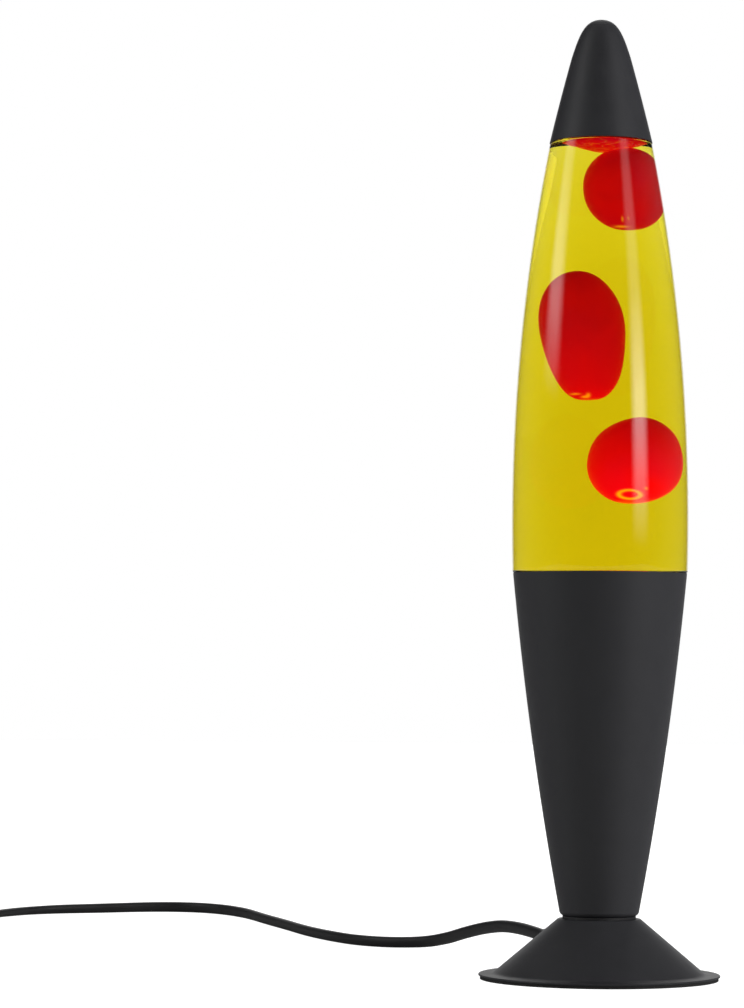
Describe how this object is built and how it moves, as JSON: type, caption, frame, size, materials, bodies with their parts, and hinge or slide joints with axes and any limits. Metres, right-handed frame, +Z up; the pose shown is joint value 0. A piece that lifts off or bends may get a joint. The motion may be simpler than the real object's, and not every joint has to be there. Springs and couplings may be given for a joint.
{
  "type": "lava lamp",
  "caption": "Slim lava lamp: yellow liquid and red wax in a tapered glass bottle on a black conical base, with a black cap, flat lead, in-line switch and plug.",
  "frame": {"origin": "middle of the foot's underside, on the surface that it stands on", "axes": "+Z up along the lamp's axis; the lead leaves at the back (+Y) and to the left (-X)"},
  "size_m": [0.4478, 0.4528, 0.4],
  "materials": {
    "black_paint": "satin black powder coat",
    "eva_pad": "closed-cell EVA foam",
    "black_abs": "moulded black ABS",
    "zinc_steel": "zinc-plated steel",
    "neck_nylon": "black nylon",
    "phenolic": "moulded phenolic",
    "steatite": "unglazed steatite",
    "brass": "stamped brass",
    "bulb_glass": "clear blown glass",
    "silvering": "evaporated aluminium",
    "bulb_shell": "rolled aluminium",
    "vitrite": "black vitrite glass",
    "solder": "tinned solder",
    "tungsten": "drawn tungsten wire",
    "bottle_glass": "clear blown glass",
    "yellow_liquid": "clear yellow dyed liquid",
    "red_wax": "red paraffin wax",
    "spring_steel": "stainless spring wire",
    "crown_tin": "gold-lacquered tinplate",
    "liner": "PVC liner",
    "cord_pvc": "matt black flexible PVC",
    "nylon": "natural nylon",
    "wire_pvc": "coloured PVC insulation",
    "nickel": "nickel-plated brass"
  },
  "bodies": {
    "base": {"foot": "black_paint", "foot_pad": "eva_pad", "bottom_cover": "black_abs", "cover_screws": "zinc_steel", "mounting_bracket": "zinc_steel", "threaded_pipe": "zinc_steel", "pipe_nuts": "zinc_steel", "pipe_washers": "zinc_steel", "neck_spacer": "neck_nylon", "body_cone": "black_paint", "holder_cap": "phenolic", "holder_skirt": "phenolic", "holder_core": "steatite", "holder_shell": "brass", "holder_contact": "brass", "terminal_screws": "brass", "cord_bushing": "black_abs", "cord_stop": "nylon", "stop_screws": "zinc_steel", "inner_cord": "cord_pvc", "lead_wires": "wire_pvc", "cord_lead": "cord_pvc", "switch_base": "black_abs", "switch_cover": "black_abs", "switch_contacts": "brass", "switch_screws": "zinc_steel", "cord_mid": "cord_pvc", "cord_coil": "cord_pvc", "coil_tie": "neck_nylon", "cord_tail": "cord_pvc", "plug_body": "black_abs", "plug_pins": "nickel", "pin_sleeves": "black_abs"},
    "bulb": {"bulb_glass": "bulb_glass", "bulb_reflector": "silvering", "bulb_shell": "bulb_shell", "bulb_insulator": "vitrite", "bulb_tip": "solder", "bulb_stem": "bulb_glass", "bulb_filament": "tungsten"},
    "bottle": {"bottle_glass": "bottle_glass", "lamp_liquid": "yellow_liquid", "wax_pool": "red_wax", "wax_coil": "spring_steel", "wax_slick": "red_wax", "crown_cap": "crown_tin", "crown_liner": "liner"},
    "blob_low": {"wax_blob_low": "red_wax"},
    "blob_mid": {"wax_blob_mid": "red_wax"},
    "blob_high": {"wax_blob_high": "red_wax"},
    "cap": {"top_cap": "black_paint"},
    "rocker": {"switch_rocker": "black_abs"}
  },
  "joints": [
    {"name": "bulb_unscrew", "type": "hinge", "parent": "base", "child": "bulb", "pos_m": [0, 0, 0.06], "axis": [0, 0, 1], "range_deg": [0, 1080]},
    {"name": "bottle_lift", "type": "slide", "parent": "base", "child": "bottle", "axis": [0, 0, 1], "range_m": [0, 0.06]},
    {"name": "cap_lift", "type": "slide", "parent": "bottle", "child": "cap", "axis": [0, 0, 1], "range_m": [0, 0.05]},
    {"name": "blob_low_drift", "type": "slide", "parent": "bottle", "child": "blob_low", "axis": [0, 0, 1], "range_m": [-0.04, 0.002], "deforming": ["lamp_liquid"]},
    {"name": "blob_mid_drift", "type": "slide", "parent": "bottle", "child": "blob_mid", "axis": [0, 0, 1], "range_m": [-0.003, 0.006]},
    {"name": "blob_high_drift", "type": "slide", "parent": "bottle", "child": "blob_high", "axis": [0, 0, 1], "range_m": [-0.009, 0]},
    {"name": "switch_rock", "type": "hinge", "parent": "base", "child": "rocker", "pos_m": [-0.33, 0.254, 0.0122], "axis": [1, 0, 0], "range_deg": [-16, 0]}
  ]
}
